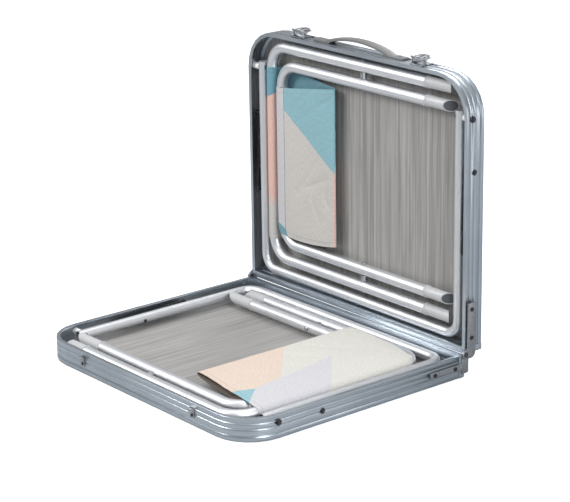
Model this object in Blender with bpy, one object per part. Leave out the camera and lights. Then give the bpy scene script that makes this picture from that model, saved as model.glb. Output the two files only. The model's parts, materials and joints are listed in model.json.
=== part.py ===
"""Suitcase-style folding picnic table with two folding stools packed inside.

Two shallow aluminium trays, each one half of the table top, are hinged along one long side.
Each tray holds a U-shaped leg frame with its folding braces, and one X-frame stool.
The lower tray lies on its top face and the other stands open at a right angle, as the lid.

Each half is drawn in its own frame: X along the hinge, Y from the hinge to the free edge,
Z from the open rim down to the table-top face. Both halves are the same design, so the
lower one is turned onto its face and the lid is stood up by the parent empty.
"""
import math

import bmesh
import bpy
from mathutils import Matrix, Vector

# ---- driving dimensions, in metres ----
LENGTH = 0.602              # along the hinge
DEPTH = 0.500               # hinge to free edge of one half
HEIGHT = 0.0425             # open rim to table-top face of one half
CORNER = 0.075              # radius of the rim's two free corners
GAP = 0.0003                # kept between pieces that touch

RIM_WALL = 0.0024           # wall of the rim extrusion
RIM_FLANGE = 0.0073         # width of the open edge
RIM_START = 0.00025         # open edge sits this far below the hinge plane
RAIL = 0.012                # thickness of the straight hinge rail
BOARD_TOP = 0.0310          # inner face of the board
BOARD_END = 0.0405          # table-top face of the board

LEG_RADIUS = 0.0095
LEG_HALF_SPAN = 0.2707      # arm centre from the middle
LEG_DEPTH = 0.0135          # arm centre below the rim
LEG_PIVOT = 0.426           # pivot from the hinge
LEG_CROSS = 0.0247          # crossbar from the hinge when folded
LEG_BEND = 0.030
LEG_TIP = 0.012             # tube beyond the pivot
RIVET = 0.0027
BUSH_RADIUS = 0.0062
BUSH_PLAY = 0.0009          # the bush ends clear of the start of the rim's corner
RIVET_HOLE = 0.0030

BRACE_WALL = (0.331, 0.0185)    # wall pivot of the brace
BRACE_PIN = (0.291, 0.0165)     # brace pin on the folded leg arm
BRACE_TAIL = 0.044              # stop tail of the wall link beyond the knee
BRACE_BOSS = 0.0045             # radius of the boss that holds the wall link off the rim
LINK_WIDTH = 0.013
LINK_THICK = 0.002
WALL_LINK_X = 0.2846            # inner faces of the two link layers
LEG_LINK_X = 0.2816

STOOL_RADIUS = 0.011
STOOL_MIDDLE = 0.264        # middle of the stool from the hinge
STOOL_DEPTH = 0.0135        # tube centres below the rim
STOOL_PIVOT = -0.018        # scissor axis from the middle of the tray
OUTER_HALF = 0.210          # leg centre to the stool's middle, outer frame
INNER_HALF = 0.1765
OUTER_CROSS = 0.2430        # crossbar centres from the middle of the tray
INNER_CROSS = 0.2145
FOOT_END = -0.2465          # middle of the slanted foot faces; their tips clear the leg arms
FOOT_LENGTH = 0.058
FOOT_RADIUS = 0.0123
FOOT_COLLAR = 0.003         # length of the foot's wider ring at its root
STOOL_BEND = 0.042
PIN_RADIUS = 0.0032
PIN_COLLAR = 0.0062         # collar that keeps the two frames apart on the pin
PIN_HEAD = 0.0052
PIN_HEAD_RISE = 0.0015
SLEEVE_IN = 0.0114
SLEEVE_OUT = 0.0127
OUTER_SLEEVE_HALF = 0.165
INNER_SLEEVE_HALF = 0.132
FLAP_EDGE = 0.060           # fold edge of the seat cloth
FLAP_HALF_EDGE = 0.160
FLAP_HALF_BAR = 0.132
FLAP_THICK_EDGE = 0.008     # folded cloth at its fold edge, and at the crossbar
FLAP_THICK_BAR = 0.018

LEAF_THICK = 0.002
EYE_RADIUS = 0.008
HINGE_PIN = 0.0030
EYE_HOLE = 0.0033

LATCH_X = 0.163             # latches and catches from the middle
LATCH_PIVOT = (0.0075, 0.0135)   # lever pivot: above the edge wall, below the rim
BAIL_PIVOT = (0.0067, 0.0080)    # beyond the lever pivot; below the rim
BAIL_WIRE = 0.0013
BAIL_HALF = 0.0095
BAIL_REACH = 0.0262
BAIL_CORNER = 0.004
CATCH_REACH = 0.0062

HANDLE_HALF = 0.122
HANDLE_WIDTH = 0.018
HANDLE_RISE = 0.0185

SIDES = 12                  # round tubes
BEND_STEPS = 6
HALF = LENGTH / 2
HINGE_Y = (DEPTH + CATCH_REACH - HEIGHT) / 2


# ---- scene and materials ----
def clear_scene():
    for item in list(bpy.data.objects):
        bpy.data.objects.remove(item, do_unlink=True)


def material(name, colour, roughness, metallic):
    made = bpy.data.materials.new(name)
    made.use_nodes = True
    shader = made.node_tree.nodes["Principled BSDF"]
    shader.inputs["Base Color"].default_value = (*colour, 1.0)
    shader.inputs["Roughness"].default_value = roughness
    shader.inputs["Metallic"].default_value = metallic
    return made


clear_scene()
ALUMINIUM = material("aluminium", (0.62, 0.66, 0.70), 0.38, 1.0)
TUBE = material("tube", (0.72, 0.74, 0.77), 0.32, 1.0)
STEEL = material("steel", (0.55, 0.56, 0.58), 0.35, 1.0)
DARK_STEEL = material("dark_steel", (0.05, 0.05, 0.055), 0.45, 1.0)
BOARD = material("board", (0.42, 0.39, 0.36), 0.55, 0.0)
GREY_PLASTIC = material("grey_plastic", (0.42, 0.44, 0.46), 0.5, 0.0)
WHITE_PLASTIC = material("white_plastic", (0.85, 0.85, 0.83), 0.45, 0.0)
CLOTH = material("cloth", (0.74, 0.70, 0.62), 0.9, 0.0)


# ---- building helpers ----
def finish(name, mesh_builder, finish_material, parent, pivot=(0, 0, 0)):
    """Turn a bmesh into an object whose origin is on its pivot, under its parent."""
    bmesh.ops.translate(mesh_builder, verts=mesh_builder.verts, vec=-Vector(pivot))
    bmesh.ops.recalc_face_normals(mesh_builder, faces=mesh_builder.faces)
    mesh = bpy.data.meshes.new(name)
    mesh_builder.to_mesh(mesh)
    mesh_builder.free()
    mesh.shade_smooth()
    mesh.set_sharp_from_angle(angle=math.radians(35))
    mesh.materials.append(finish_material)
    made = bpy.data.objects.new(name, mesh)
    bpy.context.collection.objects.link(made)
    made.parent = parent
    made.location = pivot
    return made


def ring_edges(builder, points):
    verts = [builder.verts.new(point) for point in points]
    return [builder.edges.new((verts[i - 1], verts[i])) for i in range(len(verts))]


def extruded_edges(builder, edges):
    grown = bmesh.ops.extrude_edge_only(builder, edges=edges)["geom"]
    verts = [item for item in grown if isinstance(item, bmesh.types.BMVert)]
    return verts, [item for item in grown if isinstance(item, bmesh.types.BMEdge)
                   and all(vert in verts for vert in item.verts)]


def circle(radius, depth, sides=SIDES):
    """Ring of (across, depth) pairs for a round tube."""
    turns = [2 * math.pi * (i + 0.5) / sides for i in range(sides)]
    return [(radius * math.cos(turn), depth + radius * math.sin(turn)) for turn in turns]


def swept(ring, start, heading, moves):
    """Sweep a closed ring along runs and turns in the plane of the tray.

    ring holds (across, depth) pairs, across being to the left of the heading.
    A move is a length for a straight run, or (radius, degrees) for a turn to the left,
    with negative degrees for a turn to the right.
    """
    builder = bmesh.new()
    place = Vector((*start, 0))
    ahead = Vector((*heading, 0)).normalized()
    left = Vector((-ahead.y, ahead.x, 0))
    down = Vector((0, 0, 1))
    first = ring_edges(builder, [place + left * across + down * depth for across, depth in ring])
    edges = first
    for move in moves:
        if isinstance(move, tuple):
            radius, degrees = move
            side = math.copysign(1, degrees)
            centre = place + left * radius * side
            turn = Matrix.Rotation(math.radians(degrees), 3, "Z")
            verts = {vert for edge in edges for vert in edge.verts}
            spun = bmesh.ops.spin(builder, geom=list(verts) + edges, cent=centre, axis=down,
                                  angle=math.radians(degrees), steps=BEND_STEPS, dvec=(0, 0, 0),
                                  use_merge=False, use_normal_flip=False, use_duplicate=False)
            edges = [item for item in spun["geom_last"] if isinstance(item, bmesh.types.BMEdge)]
            place = centre + turn @ (place - centre)
            ahead = turn @ ahead
            left = turn @ left
        else:
            verts, edges = extruded_edges(builder, edges)
            bmesh.ops.translate(builder, verts=verts, vec=ahead * move)
            place = place + ahead * move
    bmesh.ops.contextual_create(builder, geom=first)
    bmesh.ops.contextual_create(builder, geom=edges)
    return builder


def turned(axis, origin, stations, hollow=False, sides=SIDES):
    """Turn a profile about an axis of the frame. stations holds (distance, radius) pairs."""
    along = Vector([1.0 if i == axis else 0.0 for i in range(3)])
    side = Vector([1.0 if i == (axis + 1) % 3 else 0.0 for i in range(3)])
    other = along.cross(side)
    builder = bmesh.new()
    turns = [2 * math.pi * (i + 0.5) / sides for i in range(sides)]

    def spot(distance, radius, turn):
        return (Vector(origin) + along * distance
                + (side * math.cos(turn) + other * math.sin(turn)) * radius)

    first = ring_edges(builder, [spot(*stations[0], turn) for turn in turns])
    edges = first
    for station in stations[1:]:
        verts, edges = extruded_edges(builder, edges)
        for vert in verts:
            offset = vert.co - Vector(origin)
            radial = (offset - along * offset.dot(along)).normalized()
            vert.co = Vector(origin) + along * station[0] + radial * station[1]
    if hollow:
        bmesh.ops.bridge_loops(builder, edges=first + edges)
    else:
        bmesh.ops.contextual_create(builder, geom=first)
        bmesh.ops.contextual_create(builder, geom=edges)
    return builder


def arc(centre, radius, start, stop, steps=6):
    """Points of an arc in a flat outline, angles in degrees."""
    turns = [math.radians(start + (stop - start) * i / steps) for i in range(steps + 1)]
    return [(centre[0] + radius * math.cos(turn), centre[1] + radius * math.sin(turn))
            for turn in turns]


def plate(axis, near, far, outline):
    """Extrude a flat outline along an axis; the outline is given on the next two axes."""
    builder = bmesh.new()

    def lift(point, distance):
        spot = [0.0, 0.0, 0.0]
        spot[axis] = distance
        spot[(axis + 1) % 3] = point[0]
        spot[(axis + 2) % 3] = point[1]
        return spot

    edges = ring_edges(builder, [lift(point, near) for point in outline])
    bmesh.ops.contextual_create(builder, geom=edges)
    verts, far_edges = extruded_edges(builder, edges)
    shift = Vector(lift((0, 0), far)) - Vector(lift((0, 0), near))
    bmesh.ops.translate(builder, verts=verts, vec=shift)
    bmesh.ops.contextual_create(builder, geom=far_edges)
    return builder


def box(low, high):
    return plate(0, low[0], high[0],
                 [(low[1], low[2]), (high[1], low[2]), (high[1], high[2]), (low[1], high[2])])


def drill(target, cutter_builder, name):
    """Cut a hidden cutter out of the target."""
    cutter = finish(name, cutter_builder, STEEL, target.parent)
    cutter.hide_render = True
    cutter.display_type = "WIRE"
    cut = target.modifiers.new(name, "BOOLEAN")
    cut.operation = "DIFFERENCE"
    cut.solver = "EXACT"
    cut.object = cutter


def weld(target, other_builder, name):
    """Join a hidden helper shape to the target, so that they are one solid."""
    helper = finish(name, other_builder, STEEL, target.parent)
    helper.hide_render = True
    helper.display_type = "WIRE"
    join = target.modifiers.new(name, "BOOLEAN")
    join.operation = "UNION"
    join.solver = "EXACT"
    join.object = helper


# ---- the two trays ----
def rim_ring():
    """Cross-section of the rim extrusion: (distance in from the outer face, depth)."""
    groove = 0.0008
    ring = [(0.0, RIM_START)]
    for middle in (0.0095, 0.0195):
        ring += [(0.0, middle - 0.0013), (groove, middle - 0.0008),
                 (groove, middle + 0.0008), (0.0, middle + 0.0013)]
    ring += [(0.0, 0.0290), (0.0016, 0.0290), (0.0016, 0.0330), (0.0, 0.0330)]
    ring += [(0.0, HEIGHT - 0.0015), (0.0015, HEIGHT)]
    ring += [(0.0110, HEIGHT), (0.0110, BOARD_END + GAP), (0.0034, BOARD_END + GAP)]
    ring += [(0.0034, BOARD_TOP - GAP), (0.0090, BOARD_TOP - GAP), (0.0090, 0.0293)]
    ring += [(RIM_WALL, 0.0293), (RIM_WALL, 0.0022), (RIM_FLANGE, 0.0022)]
    ring += [(RIM_FLANGE, RIM_START)]
    return ring


def make_rim(half, parent):
    side = DEPTH - CORNER - RAIL - GAP
    rim = finish(half + "_rim",
                 swept(rim_ring(), (HALF, RAIL + GAP), (0, 1),
                       [side, (CORNER, 90), LENGTH - 2 * CORNER, (CORNER, 90), side]),
                 ALUMINIUM, parent)
    hole = turned(0, (0, LEG_PIVOT, LEG_DEPTH), [(-HALF - 0.01, RIVET_HOLE),
                                                 (HALF + 0.01, RIVET_HOLE)])
    drill(rim, hole, half + "_rim_rivet_holes")
    return rim


def make_rail(half, parent):
    """Straight rail at the hinge: ribbed inside, with the ledge and the lip for the board."""
    rib = 0.0006
    outline = [(GAP, RIM_START), (RAIL, RIM_START)]
    for middle in (0.0145, 0.0245):
        outline += [(RAIL, middle - 0.0012), (RAIL - rib, middle - 0.0008),
                    (RAIL - rib, middle + 0.0008), (RAIL, middle + 0.0012)]
    outline += [(RAIL, BOARD_TOP - GAP), (RAIL, BOARD_END + GAP), (0.0145, BOARD_END + GAP)]
    outline += [(0.0145, HEIGHT), (0.0015, HEIGHT), (GAP, HEIGHT - 0.0012)]
    inner = HALF - 0.0113
    rail = finish(half + "_hinge_rail", plate(0, -inner, inner, outline), ALUMINIUM, parent)
    for side in (-1, 1):
        near, far = sorted((side * (inner - 0.001), side * HALF))
        end = plate(0, near, far, [(GAP, RIM_START), (RAIL, RIM_START), (RAIL, HEIGHT),
                                   (0.0015, HEIGHT), (GAP, HEIGHT - 0.0012)])
        weld(rail, end, f"{half}_rail_end_{side_name(side)}")
    return rail


def make_board(half, parent):
    inset = 0.0034 + GAP
    near = RAIL + GAP
    far = DEPTH - inset
    edge = HALF - inset
    radius = CORNER - inset
    outline = [(-edge, near), (edge, near)]
    outline += arc((edge - radius, far - radius), radius, 0, 90)
    outline += arc((-edge + radius, far - radius), radius, 90, 180)
    return finish(half + "_board", plate(2, BOARD_TOP, BOARD_END, outline), BOARD, parent)


# ---- legs and braces ----
def side_name(side):
    return "left" if side < 0 else "right"


def make_leg_frame(half, parent):
    run = LEG_PIVOT + LEG_TIP - LEG_CROSS - LEG_BEND
    frame = finish(half + "_leg_frame",
                   swept(circle(LEG_RADIUS, LEG_DEPTH), (LEG_HALF_SPAN, LEG_PIVOT + LEG_TIP),
                         (0, -1), [run, (LEG_BEND, -90), 2 * (LEG_HALF_SPAN - LEG_BEND),
                                   (LEG_BEND, -90), run]),
                   TUBE, parent, pivot=(0, LEG_PIVOT, LEG_DEPTH))
    hole = turned(0, (0, LEG_PIVOT, LEG_DEPTH), [(-HALF, RIVET_HOLE), (HALF, RIVET_HOLE)])
    drill(frame, hole, half + "_leg_rivet_holes")
    return frame


def make_leg_fittings(half, parent, side):
    """The bush between the leg arm and the rim, and the rivet that the leg turns on."""
    arm_out = LEG_HALF_SPAN + LEG_RADIUS + GAP
    wall_in = HALF - RIM_WALL - BUSH_PLAY
    origin = (0, LEG_PIVOT, LEG_DEPTH)
    stations = [(arm_out, BUSH_RADIUS), (wall_in, BUSH_RADIUS), (wall_in, RIVET_HOLE),
                (arm_out, RIVET_HOLE)]
    finish(f"{half}_leg_bush_{side_name(side)}",
           turned(0, origin, [(side * at, radius) for at, radius in stations], hollow=True),
           WHITE_PLASTIC, parent)
    inner = LEG_HALF_SPAN - LEG_RADIUS - GAP
    stations = [(HALF + 0.0018, 0.0034), (HALF + GAP, 0.0052), (HALF + GAP, RIVET),
                (inner, RIVET), (inner, 0.0048), (inner - 0.0016, 0.0032)]
    finish(f"{half}_leg_rivet_{side_name(side)}",
           turned(0, origin, [(side * at, radius) for at, radius in stations]), STEEL, parent)


def brace_wall_length():
    """Length of the wall link: the two links lie folded at rest and make one straight stay
    when the leg stands at a right angle."""
    wall = Vector(BRACE_WALL)
    pin = Vector(BRACE_PIN)
    pivot = Vector((LEG_PIVOT, LEG_DEPTH))
    arm = pin - pivot
    opened = pivot + Vector((-arm.y, arm.x))
    reach = (opened - wall).length
    rest = (pin - wall).length
    return (reach + rest) / 2


def link_outline(start, stop, width):
    """Flat bar with round ends between two points."""
    line = Vector(stop) - Vector(start)
    heading = math.degrees(math.atan2(line.y, line.x))
    return (arc(start, width / 2, heading + 90, heading + 270)
            + arc(stop, width / 2, heading - 90, heading + 90))


def make_brace(half, parent, side):
    wall = Vector(BRACE_WALL)
    pin = Vector(BRACE_PIN)
    wall_length = brace_wall_length()
    along = (pin - wall).normalized()
    knee = wall + along * wall_length
    tail = knee + along * BRACE_TAIL
    layer = sorted((side * WALL_LINK_X, side * (WALL_LINK_X + LINK_THICK)))
    link = finish(f"{half}_brace_wall_link_{side_name(side)}",
                  plate(0, *layer, link_outline(wall, tail, LINK_WIDTH)),
                  DARK_STEEL, parent, pivot=(0, *wall))
    boss = turned(0, (0, *wall), [(side * (WALL_LINK_X + LINK_THICK / 2), BRACE_BOSS),
                                  (side * (HALF - RIM_WALL - GAP), BRACE_BOSS)])
    weld(link, boss, f"{half}_brace_boss_{side_name(side)}")
    layer = sorted((side * LEG_LINK_X, side * (LEG_LINK_X + LINK_THICK)))
    finish(f"{half}_brace_leg_link_{side_name(side)}",
           plate(0, *layer, link_outline(knee, pin, LINK_WIDTH)),
           DARK_STEEL, parent, pivot=(0, *knee))


# ---- stools ----
def foot(half_span, face_out):
    """Plastic foot: a ring at the tube's end and a slanted face that stands flat in use.

    face_out is 1 when the slanted face looks to the tray's open side, -1 to its board.
    """
    at = FOOT_END
    root = at + FOOT_LENGTH
    centre = (0, STOOL_MIDDLE + half_span, STOOL_DEPTH)
    stations = [(root, FOOT_RADIUS), (root - FOOT_COLLAR, FOOT_RADIUS),
                (root - FOOT_COLLAR, STOOL_RADIUS),
                (at, STOOL_RADIUS)]
    builder = turned(0, centre, stations)
    for vert in builder.verts:
        if abs(vert.co.x - at) < 1e-6:
            vert.co.x += face_out * (STOOL_DEPTH - vert.co.z)
    return builder


def make_stool_frame(name, parent, half_span, cross, pivot):
    start = FOOT_END + FOOT_LENGTH + GAP
    run = cross - STOOL_BEND - start
    frame = finish(name,
                   swept(circle(STOOL_RADIUS, STOOL_DEPTH), (start, STOOL_MIDDLE + half_span),
                         (1, 0), [run, (STOOL_BEND, -90), 2 * (half_span - STOOL_BEND),
                                  (STOOL_BEND, -90), run]),
                   TUBE, parent, pivot=pivot)
    hole = turned(1, (pivot[0], 0, pivot[2]), [(0.0, PIN_RADIUS + GAP),
                                               (DEPTH, PIN_RADIUS + GAP)])
    drill(frame, hole, name + "_pin_holes")
    return frame


def make_stool(half, parent, flip):
    """One X-frame stool. flip is 1 when its outer feet look to the open side, -1 to the board."""
    pivot = (STOOL_PIVOT, STOOL_MIDDLE, STOOL_DEPTH)
    make_stool_frame(half + "_stool_outer_frame", parent, OUTER_HALF, OUTER_CROSS, pivot)
    make_stool_frame(half + "_stool_inner_frame", parent, INNER_HALF, INNER_CROSS, pivot)
    for side, place in ((-1, "near"), (1, "far")):
        finish(f"{half}_stool_outer_foot_{place}", foot(side * OUTER_HALF, flip),
               GREY_PLASTIC, parent, pivot=pivot)
        finish(f"{half}_stool_inner_foot_{place}", foot(side * INNER_HALF, -flip),
               GREY_PLASTIC, parent, pivot=pivot)
        inner = INNER_HALF - STOOL_RADIUS - GAP
        outer = OUTER_HALF + STOOL_RADIUS + GAP
        collar = (INNER_HALF + STOOL_RADIUS + GAP, OUTER_HALF - STOOL_RADIUS - GAP)
        stations = [(inner - PIN_HEAD_RISE, PIN_RADIUS), (inner, PIN_HEAD), (inner, PIN_RADIUS),
                    (collar[0], PIN_RADIUS), (collar[0], PIN_COLLAR), (collar[1], PIN_COLLAR),
                    (collar[1], PIN_RADIUS), (outer, PIN_RADIUS), (outer, PIN_HEAD),
                    (outer + PIN_HEAD_RISE, PIN_RADIUS)]
        finish(f"{half}_stool_pivot_{place}",
               turned(1, pivot, [(side * at, radius) for at, radius in stations]),
               STEEL, parent, pivot=pivot)
    make_seat(half, parent, pivot)


def sleeve(cross, half_length):
    stations = [(-half_length, SLEEVE_OUT), (half_length, SLEEVE_OUT),
                (half_length, SLEEVE_IN), (-half_length, SLEEVE_IN)]
    return turned(1, (cross, STOOL_MIDDLE, STOOL_DEPTH), stations, hollow=True)


def make_seat(half, parent, pivot):
    """Seat cloth: a sleeve on each crossbar, and the folded rest of it as one flat wedge."""
    finish(half + "_stool_outer_seat", sleeve(OUTER_CROSS, OUTER_SLEEVE_HALF), CLOTH, parent,
           pivot=pivot)
    inner = finish(half + "_stool_inner_seat", sleeve(INNER_CROSS, INNER_SLEEVE_HALF), CLOTH,
                   parent, pivot=pivot)
    near = INNER_CROSS - SLEEVE_OUT + 2 * GAP
    thick, thin = FLAP_THICK_BAR / 2, FLAP_THICK_EDGE / 2
    wedge = plate(1, -1, 1, [(STOOL_DEPTH - thick, near), (STOOL_DEPTH - thin, FLAP_EDGE),
                             (STOOL_DEPTH + thin, FLAP_EDGE), (STOOL_DEPTH + thick, near)])
    for vert in wedge.verts:
        half_width = FLAP_HALF_BAR if abs(vert.co.x - near) < 1e-6 else FLAP_HALF_EDGE
        vert.co.y = STOOL_MIDDLE + half_width * vert.co.y
    weld(inner, wedge, half + "_stool_flap")


# ---- hinge ----
def make_lower_leaf(parent, side):
    """Angle plate screwed to the lower tray: a foot along the wall and an upright with the eye."""
    outline = arc((0, 0), EYE_RADIUS, 180, 360)
    outline += [(EYE_RADIUS, 0.015), (0.082, 0.015), (0.084, 0.017), (0.084, 0.0245)]
    outline += [(0.082, 0.0265), (EYE_RADIUS, 0.0275), (EYE_RADIUS, 0.0345), (-0.0055, 0.0345)]
    outline += [(-EYE_RADIUS, 0.0320)]
    near = HALF + GAP
    layer = sorted((side * near, side * (near + LEAF_THICK)))
    leaf = finish(f"lower_hinge_leaf_{side_name(side)}", plate(0, *layer, outline), STEEL, parent)
    hole = turned(0, (0, 0, 0), [(side * (near - 0.002), EYE_HOLE), (side * (near + 0.01), EYE_HOLE)])
    drill(leaf, hole, f"lower_hinge_eye_{side_name(side)}")


def make_lid_leaf(parent, side):
    """Strip on the lid's wall, with its round end beyond the hinge axis."""
    outline = [(0.095, 0.0035), (0.095, 0.0225), (0.0020, 0.0225)]
    outline += arc((0.0020, 0.0125), 0.0100, 90, 180)
    outline += arc((0, 0), EYE_RADIUS, 180, 340)
    outline += [(0.0110, 0.0035)]
    near = HALF + LEAF_THICK + 2 * GAP
    layer = sorted((side * near, side * (near + LEAF_THICK)))
    leaf = finish(f"lid_hinge_leaf_{side_name(side)}", plate(0, *layer, outline), STEEL, parent)
    hole = turned(0, (0, 0, 0), [(side * (near - 0.002), EYE_HOLE), (side * (near + 0.01), EYE_HOLE)])
    drill(leaf, hole, f"lid_hinge_eye_{side_name(side)}")


def make_hinge_pin(parent, side):
    near = HALF + GAP
    far = near + 2 * LEAF_THICK + 2 * GAP
    stations = [(near, HINGE_PIN), (far, HINGE_PIN), (far, 0.0050), (far + 0.0016, 0.0036)]
    finish(f"hinge_pin_{side_name(side)}",
           turned(0, (0, 0, 0), [(side * at, radius) for at, radius in stations]), STEEL, parent)


# ---- latches, catches and handle on the free edges ----
def make_latch(parent, side):
    """Draw latch: base plate with two ears, a lever between them and a wire bail."""
    name = side_name(side)
    middle = side * LATCH_X
    wall = DEPTH + GAP
    height, depth = LATCH_PIVOT
    base = finish(f"latch_base_{name}",
                  box((middle - 0.0165, wall, 0.0065), (middle + 0.0165, wall + 0.0012, 0.0365)),
                  STEEL, parent)
    for ear in (-1, 1):
        near, far = sorted((middle + ear * 0.0133, middle + ear * 0.0147))
        outline = [(wall + 0.0008, 0.0085), (wall + 0.0008, 0.0205), (wall + 0.0070, 0.0175)]
        outline += arc((DEPTH + height, depth), 0.0034, 10, -110, 4)
        weld(base, plate(0, near, far, outline), f"latch_ear_{name}_{side_name(ear)}")
    low = wall + 0.0012 + 0.0006
    lever_outline = [(DEPTH + height + 0.0028, depth - 0.0020), (DEPTH + height + 0.0034, 0.0240),
                     (DEPTH + height + 0.0050, 0.0350), (DEPTH + height + 0.0036, 0.0356),
                     (DEPTH + height + 0.0016, 0.0245), (low + 0.0018, 0.0200),
                     (low, depth), (low, depth - 0.0020)]
    lever = finish(f"latch_lever_{name}",
                   plate(0, middle - 0.0128, middle + 0.0128, lever_outline), STEEL, parent,
                   pivot=(middle, DEPTH + height, depth))
    bail_height = DEPTH + height + BAIL_PIVOT[0]
    lug_outline = [(DEPTH + height + 0.0005, 0.0120), (DEPTH + height + 0.0005, 0.0170),
                   (bail_height - 0.0010, 0.0140)]
    lug_outline += arc((bail_height, BAIL_PIVOT[1]), 0.0022, 60, -100, 4)
    for ear in (-1, 1):
        near, far = sorted((middle + ear * 0.0114, middle + ear * 0.0128))
        weld(lever, plate(0, near, far, lug_outline), f"latch_lug_{name}_{side_name(ear)}")
    make_bail(parent, side)


def make_bail(parent, side):
    """Wire loop hung on the lever, laid back over it; it swings forward to hook the catch."""
    name = side_name(side)
    middle = side * LATCH_X
    height = LATCH_PIVOT[0] + BAIL_PIVOT[0]
    run = BAIL_REACH - BAIL_CORNER
    builder = swept(circle(BAIL_WIRE, 0.0, 8), (-BAIL_HALF, 0.0), (0, 1),
                    [run, (BAIL_CORNER, -90), 2 * (BAIL_HALF - BAIL_CORNER),
                     (BAIL_CORNER, -90), run])
    turn = Matrix.Rotation(math.radians(90), 4, "X")
    bmesh.ops.transform(builder, verts=builder.verts, matrix=turn)
    place = (middle, DEPTH + height, BAIL_PIVOT[1])
    bmesh.ops.translate(builder, verts=builder.verts, vec=place)
    bail = finish(f"latch_bail_{name}", builder, STEEL, parent, pivot=place)
    bar_half = BAIL_HALF + 0.0016
    bar = turned(0, place, [(-bar_half, BAIL_WIRE), (bar_half, BAIL_WIRE)], sides=8)
    weld(bail, bar, f"latch_bail_bar_{name}")


def make_catch(parent, side):
    """Hook on the lower tray's free edge: a plate with a lip turned towards the table top."""
    middle = side * LATCH_X
    wall = DEPTH + GAP
    outline = [(wall, 0.0090), (wall + CATCH_REACH - GAP, 0.0090)]
    outline += [(wall + CATCH_REACH - GAP, 0.0165), (wall + CATCH_REACH - GAP - 0.0012, 0.0165)]
    outline += [(wall + CATCH_REACH - GAP - 0.0012, 0.0102), (wall + 0.0012, 0.0102)]
    outline += [(wall + 0.0012, 0.0270), (wall, 0.0270)]
    finish(f"catch_{side_name(side)}", plate(0, middle - 0.0055, middle + 0.0055, outline),
           STEEL, parent)


def make_handle(parent):
    """Carrying handle: two pads on the lid's free edge and a flat bow between them."""
    wall = DEPTH + GAP
    pad = 0.0045
    thick = 0.0048
    steps = 14
    bow_half = 0.088
    rises = [math.sin(math.pi * i / steps) ** 0.7 for i in range(steps + 1)]
    along = [bow_half - 2 * bow_half * i / steps for i in range(steps + 1)]
    outer = [(at, wall + pad + (HANDLE_RISE - pad) * rise) for at, rise in zip(along, rises)]
    under = [(at * 0.955, height - thick) for at, height in outer[1:-1]]
    ends = HANDLE_HALF
    outline = [(ends, wall), (ends, wall + pad - 0.0012), (ends - 0.002, wall + pad)] + outer
    outline += [(-ends + 0.002, wall + pad), (-ends, wall + pad - 0.0012), (-ends, wall)]
    outline += [(-bow_half + 0.010, wall)]
    outline += [point for point in reversed(under) if point[1] > wall + 0.0004]
    outline += [(bow_half - 0.010, wall)]
    middle = HEIGHT / 2
    low = middle - HANDLE_WIDTH / 2
    finish("handle", plate(2, low, low + HANDLE_WIDTH, outline), GREY_PLASTIC, parent)


# ---- the assembly ----
def half_frame(name, turn):
    """Parent empty that puts one half's own frame on the hinge axis."""
    empty = bpy.data.objects.new(name, None)
    bpy.context.collection.objects.link(empty)
    empty.location = (0, HINGE_Y, HEIGHT)
    empty.rotation_euler = turn
    return empty


def make_half(half, parent, flip):
    make_rim(half, parent)
    make_rail(half, parent)
    make_board(half, parent)
    make_leg_frame(half, parent)
    for side in (-1, 1):
        make_leg_fittings(half, parent, side)
        make_brace(half, parent, side)
    make_stool(half, parent, flip)


LOWER = half_frame("lower_half", (math.pi, 0, 0))
LID = half_frame("lid_half", (math.pi / 2, 0, math.pi))
make_half("lower", LOWER, 1)
make_half("lid", LID, -1)
for SIDE in (-1, 1):
    make_lower_leaf(LOWER, SIDE)
    make_lid_leaf(LID, SIDE)
    make_hinge_pin(LOWER, SIDE)
    make_catch(LOWER, SIDE)
    make_latch(LID, SIDE)
make_handle(LID)
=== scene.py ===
# %% [markdown]
# # A folding picnic table, open as a case
#
# The object is two shallow aluminium trays on one hinge. Each tray is half of a table top and
# carries a leg frame, two folding braces and a folded stool. The lower tray lies on its table-top
# face, and the lid stands at a right angle. The fixed frame gives every size and place. This
# lesson gives each piece its fine shape and its finish, and leaves the frame where it is.

# %% Load the frame
import json
import math

import bmesh
import bpy
from mathutils import Matrix, Vector, noise

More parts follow.
